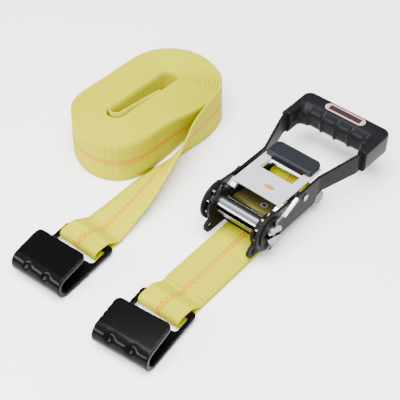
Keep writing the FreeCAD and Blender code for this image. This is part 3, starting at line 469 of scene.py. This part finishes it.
def roll_place(turn):
    """Point on the roll's middle line and direction outwards, at a count of turns."""
    part = (turn % 1.0) * 4
    leg = int(part)
    t = part - leg
    across = Vector((ROLL_HALF, 0, 0))
    if leg == 1:
        return ROLL + Vector((ROLL_HALF * (1 - 2 * t), 0, 0)), Vector((0, 1, 0))
    if leg == 3 and t < 0.6:
        return ROLL + Vector((ROLL_HALF * (t / 0.3 - 1), 0, 0)), Vector((0, -1, 0))
    if leg == 2:
        angle, middle = math.radians(90 + 180 * t), ROLL - across
    elif leg == 3:
        angle, middle = math.radians(-90 + 90 * (t - 0.6) / 0.4), ROLL + across
    else:
        angle, middle = math.radians(90 * t), ROLL + across
    return middle, Vector((math.cos(angle), math.sin(angle), 0))


def bell(value, centre, width):
    return math.exp(-((value - centre) / width) ** 2)


def wobble(turn, seed):
    """A slow uneven amount from -1 to 1."""
    return (math.sin(turn * 2.37 + seed) + math.sin(turn * 5.13 + seed * 2.1)
            + math.sin(turn * 11.7 + seed * 0.7)) / 3


def roll_station(turn):
    """Lower edge, upper edge and normal of the wound webbing at a count of turns."""
    inward = (turn + ROLL_START) / ROLL_TURNS
    middle, out = roll_place(turn)
    radius = ROLL_RADIUS + (HOLLOW - ROLL_RADIUS) * inward
    if turn > CURL_START:
        radius -= CURL_DEPTH * math.sin(math.pi * (turn - CURL_START) / (CURL_END - CURL_START))
    grow = 1 - inward
    angle = math.degrees(math.atan2(out.y, out.x)) % 360
    bulge = drawn = lean = 0.0
    if middle.x < ROLL.x - ROLL_HALF + 0.5:
        bulge = bell(angle, BULGE_AT, BULGE_SPREAD) * BULGE_OUT * grow
        drawn = bell(angle, DRAWN_AT, DRAWN_SPREAD) * DRAWN_IN * grow
    if middle.x > ROLL.x - 30:
        facing = max(0.0, -out.y - 0.2) / 0.8
        lean = bell(middle.x, LEAN_AT, LEAN_SPREAD) * grow ** 1.5 * facing ** 1.5
    foot = radius + bulge - drawn * 0.6 - lean * LEAN_FOOT
    head = radius + bulge * 0.5 - drawn + lean * LEAN_HEAD
    # The edges rise and fall a little from turn to turn.
    base = 0.5 + 0.25 * wobble(turn * 6.28 * 0.31, 1.0)
    top = base + 49.5 + 0.2 * wobble(turn * 6.28 * 0.5, 2.0) - lean
    lower, upper = middle + out * foot, middle + out * head
    return lower + Vector((0, 0, base)), upper + Vector((0, 0, top)), -out


def make_long_strap():
    """Loop round the hook's bar, the free run that turns on edge, and the roll."""
    profile = [(-82.0, 1.0)] + loop_round_bar(LONG_BAR[0])[1:] + [(-84.0, 2.9)]
    left, right, normals = flat_rails(profile)
    shift = Vector((0, LONG_LOOP_Y, 0))
    left = [point + shift for point in left]
    right = [point + shift for point in right]
    low, high = rail_curve(LOW_RAIL), rail_curve(HIGH_RAIL)
    for index in range(2, len(low)):
        before = (low[index - 1] + high[index - 1]) / 2
        here = (low[index] + high[index]) / 2
        left.append(low[index])
        right.append(high[index])
        normals.append((here - before).cross(low[index] - high[index]).normalized())
    for number in range(1, int((CURL_END + ROLL_START) * ROLL_STEPS)):
        lower, upper, normal = roll_station(number / ROLL_STEPS - ROLL_START)
        left.append(lower)
        right.append(upper)
        normals.append(normal)
    obj, length = webbing_strip("long_strap_webbing", left, right, normals, LONG_PLY)
    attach(obj, "long_strap")
    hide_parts("long_strap_coil", "long_strap_tail")


make_short_strap()
make_long_strap()


# ---- pressed and moulded pieces --------------------------------------------------------------------

# A hook in its own side view: the bar's distance from the bend's nose, and the bend's centre.
HOOK_BAR, BEND_X, BEND_Z = 75.5, 13, 14
# Two shallow press marks on the bend's outside: places along the bar, depth and direction.
PRESS_SIDES, PRESS_WIDTH, PRESS_DEPTH = (-12.0, 12.0), 4.0, 1.6
PRESS_ANGLE, PRESS_SPREAD = 38, 20
HOOK_VOXEL, HOOK_ROUNDS = 0.8, 3


def press_marks(bar, turn):
    """The move of each vertex that presses the marks into a hook lying turn degrees off X."""
    back = Matrix.Rotation(math.radians(-turn), 4, "Z")
    away = Matrix.Rotation(math.radians(turn), 4, "Z")
    centre = row(bar)

    def shape(co):
        local = back @ (co - centre)
        u, side, z = HOOK_BAR + local.x / MM, local.y / MM, co.z / MM
        if u < 22 and z > 4:
            out = Vector((u - BEND_X, 0, z - BEND_Z))
            far = out.length
            if far > 9:
                angle = math.degrees(math.atan2(out.z, -out.x))
                depth = 0.0
                for middle in PRESS_SIDES:
                    depth += (PRESS_DEPTH * bell(side, middle, PRESS_WIDTH)
                              * bell(angle, PRESS_ANGLE, PRESS_SPREAD))
                out = out * ((far - depth) / far)
                u, z = BEND_X + out.x, BEND_Z + out.z
        local = Vector(((u - HOOK_BAR) * MM, local.y, 0))
        moved = away @ local + centre
        return Vector((moved.x, moved.y, z * MM))
    return shape


def pressed_hook(node, name, shape):
    """A softened copy of a hook's CAD node, with rolled edges and press marks, that stands for it."""
    obj = add_object(name, nodes[node].data.copy())
    bpy.context.view_layer.objects.active = obj
    obj.select_set(True)
    remesh = obj.modifiers.new("remesh", "REMESH")
    remesh.mode = "VOXEL"
    remesh.voxel_size = HOOK_VOXEL * MM
    remesh.adaptivity = 0.0
    bpy.ops.object.modifier_apply(modifier="remesh")
    soften = obj.modifiers.new("soften", "SMOOTH")
    soften.factor = 0.5
    soften.iterations = HOOK_ROUNDS
    bpy.ops.object.modifier_apply(modifier="soften")
    obj.select_set(False)
    for vertex in obj.data.vertices:
        vertex.co = shape(vertex.co)
    for polygon in obj.data.polygons:
        polygon.use_smooth = True
    obj.data.materials.clear()
    obj.data.materials.append(FINISH[node])
    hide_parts(node)
    return obj


short_hook = pressed_hook("short_strap_hook", "short_hook_pressed", press_marks(SHORT_BAR, 6.9))
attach(short_hook, "short_hook")
long_hook = pressed_hook("long_strap_hook", "long_hook_pressed", press_marks(LONG_BAR, 3.7))
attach(long_hook, "long_hook")


# The grip: two legs along X over the handle plates, and a cross bar along Y with finger grooves.
GRIP_OUTER, GRIP_SIDE, GRIP_CORNER = 181.0, 54.0, 9.0
GRIP_INNER, GRIP_LOW, GRIP_TALL = 154.0, 24.0, 26.0
GROOVES_HALF, GROOVES = 35.5, 4
LEG_START, LEG_LENGTH, LEG_INSIDE = 133.0, 17.0, 43.5
LEG_END = LEG_START + LEG_LENGTH
BAR_HALF, BAR_STEPS = 38.0, 108
TOP_ROUND, LOW_ROUND = 3.5, 4.5
BASE_LIFT = 6.4


def grip_stations():
    """Inner and outer plan points round the grip, with how far each is into the cross bar."""
    made = []
    for step in range(9):
        x = LEG_START + LEG_LENGTH * step / 8
        made.append(((x, LEG_INSIDE), (x, GRIP_SIDE), 0.0))
    straight, centre = 6, Vector((GRIP_OUTER - GRIP_CORNER, GRIP_SIDE - GRIP_CORNER))
    outer = [Vector((LEG_END + (centre.x - LEG_END) * step / straight, GRIP_SIDE))
             for step in range(1, straight + 1)]
    for step in range(1, 11):
        turn = math.radians(9 * step)
        outer.append(centre + Vector((math.sin(turn), math.cos(turn))) * GRIP_CORNER)
    # The inside corner turns with the outer one and moves towards the bar's inner face.
    for step, point in enumerate(outer):
        part = (step + 1) / len(outer)
        turn = math.radians(90 - 90 * part)
        inner = (149.0 + 2.0 * part + 3.0 * math.cos(turn), BAR_HALF + 5.5 * math.sin(turn))
        made.append((inner, tuple(point), part))
    corner = made[:]
    for step in range(1, BAR_STEPS):
        y = BAR_HALF - 2 * BAR_HALF * step / BAR_STEPS
        outside = max(-centre.y, min(centre.y, y * centre.y / BAR_HALF))
        made.append(((GRIP_INNER, y), (GRIP_OUTER, outside), 1.0))
    return made + [((i[0], -i[1]), (o[0], -o[1]), w) for i, o, w in reversed(corner)]


def grip_section(inner, outer, weight, y):
    """Points round one slice of the grip: up the inner face, over the top, down the outer face."""
    inner, outer = Vector((*inner, 0)), Vector((*outer, 0))
    way = outer - inner
    width = way.length
    way = way.normalized()
    pitch = 2 * GROOVES_HALF / GROOVES
    place = (y + GROOVES_HALF) / pitch % 1.0 * 2 - 1
    ridge = abs(place) ** 7 if abs(y) < GROOVES_HALF else 1.0
    points = []
    steps = 22
    # The bar's inner face draws back near its top and foot, and its grooves fade out near the top.
    for step in range(steps + 1):
        q = step / steps
        high = max(0.0, (q - 0.52) / 0.48)
        low = max(0.0, (0.30 - q) / 0.30)
        shown = min(1.0, max(0.0, (0.93 - q) / 0.25)) ** 0.5
        bar = 9.5 * high ** 2.3 + 3.0 * low ** 3 + (1.0 - 3.0 * ridge) * shown
        leg = 2.5 * abs(2 * q - 1) ** 10
        points.append((leg + (bar - leg) * weight, GRIP_LOW + GRIP_TALL * q))
    top = GRIP_LOW + GRIP_TALL
    for step in range(1, 9):
        turn = math.radians(90 - 11.25 * step)
        points.append((width - TOP_ROUND + TOP_ROUND * math.cos(turn),
                       top - TOP_ROUND + TOP_ROUND * math.sin(turn)))
    for step in range(9):
        turn = math.radians(-11.25 * step)
        points.append((width - LOW_ROUND + LOW_ROUND * math.cos(turn),
                       GRIP_LOW + LOW_ROUND + LOW_ROUND * math.sin(turn)))
    return [row(inner + way * across + Vector((0, 0, z + BASE_LIFT))) for across, z in points]


def make_grip():
    mesh = bmesh.new()
    rings = []
    for inner, outer, weight in grip_stations():
        rings.append([mesh.verts.new(point)
                      for point in grip_section(inner, outer, weight, inner[1])])
    ring = len(rings[0])
    for first, second in zip(rings[:-1], rings[1:]):
        for index in range(ring):
            nxt = (index + 1) % ring
            mesh.faces.new((first[index], first[nxt], second[nxt], second[index])).smooth = True
    for ends in (rings[0], rings[-1]):
        middle = sum((vertex.co for vertex in ends), Vector()) / ring
        centre = mesh.verts.new(middle)
        for index in range(ring):
            mesh.faces.new((centre, ends[index], ends[(index + 1) % ring]))
    bmesh.ops.recalc_face_normals(mesh, faces=mesh.faces)
    data = bpy.data.meshes.new("grip_moulded")
    mesh.to_mesh(data)
    mesh.free()
    obj = add_object("grip_moulded", data)
    data.materials.append(grip_plastic)
    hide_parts("handle_grip")
    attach(obj, "handle")


make_grip()


# ---- studio ----------------------------------------------------------------------------------------

FLOOR_HALF, FLOOR_Z = 6.0, -0.0002
# Direction of the dark panel that the hooks' tops and the bar's top mirror.
DARK_PANEL = (0.50, 0.43, 0.75)
CAMERA_PLACE, CAMERA_TARGET = (-553.5, -429.9, 729.4), (14.75, 67.55, 0.0)


def add_floor():
    corners = [(x * FLOOR_HALF, y * FLOOR_HALF, FLOOR_Z)
               for x, y in ((-1, -1), (1, -1), (1, 1), (-1, 1))]
    data = bpy.data.meshes.new("floor")
    data.from_pydata(corners, [], [(0, 1, 2, 3)])
    obj = add_object("floor", data)
    made, tree, shader = new_material("floor_white")
    shader.inputs["Base Color"].default_value = (0.93, 0.93, 0.93, 1.0)
    shader.inputs["Roughness"].default_value = 0.9
    data.materials.append(made)


def add_light(name, place, target, size, power):
    lamp = bpy.data.lights.new(name, "AREA")
    lamp.shape = "RECTANGLE"
    lamp.size, lamp.size_y = size
    lamp.energy = power
    obj = add_object(name, lamp)
    obj.location = place
    obj.rotation_mode = "QUATERNION"
    obj.rotation_quaternion = (Vector(target) - Vector(place)).to_track_quat("-Z", "Y")
    obj.visible_camera = False


def ramp_node(tree, value, start, end, first, last):
    """A value's share of the way from start to end, turned into first to last."""
    node = tree.nodes.new("ShaderNodeMapRange")
    tree.links.new(value, node.inputs["Value"])
    for name, number in (("From Min", start), ("From Max", end), ("To Min", first), ("To Max", last)):
        node.inputs[name].default_value = number
    return node


def add_world(strength):
    """White overhead, falling to grey low down, with a dark panel behind, as in a light tent."""
    world = bpy.data.worlds.new("studio")
    world.use_nodes = True
    tree = world.node_tree
    background = tree.nodes["Background"]
    where = tree.nodes.new("ShaderNodeTexCoord")
    split = tree.nodes.new("ShaderNodeSeparateXYZ")
    tree.links.new(where.outputs["Generated"], split.inputs[0])
    ramp = ramp_node(tree, split.outputs[2], 0.55, 0.97, 0.10 * strength, strength)
    towards = tree.nodes.new("ShaderNodeVectorMath")
    towards.operation = "DOT_PRODUCT"
    towards.inputs[1].default_value = DARK_PANEL
    tree.links.new(where.outputs["Generated"], towards.inputs[0])
    panel = ramp_node(tree, towards.outputs["Value"], 0.70, 0.92, 1.0, 0.08)
    panel.interpolation_type = "SMOOTHSTEP"
    shown = math_node(tree, "MULTIPLY", ramp.outputs[0], panel.outputs[0])
    tree.links.new(shown, background.inputs["Strength"])
    background.inputs["Color"].default_value = (1.0, 1.0, 1.0, 1.0)
    bpy.context.scene.world = world


def add_camera():
    data = bpy.data.cameras.new("camera")
    data.lens = 90.0
    data.sensor_width = 36.0
    data.clip_start = 0.05
    obj = add_object("camera", data)
    place, target = row(CAMERA_PLACE), row(CAMERA_TARGET)
    obj.location = place
    obj.rotation_mode = "QUATERNION"
    obj.rotation_quaternion = (target - place).to_track_quat("-Z", "Y")
    bpy.context.scene.camera = obj


add_floor()
add_world(3.4)
add_light("top", (-0.25, -0.15, 1.5), (0, 0, 0), (1.3, 1.3), 84)
add_light("front", (-1.0, -0.6, 0.9), (0, 0, 0), (0.6, 0.6), 14)
add_light("strip", (-1.20, 0.58, 0.60), (-0.15, -0.03, 0), (0.9, 0.34), 22)
add_camera()
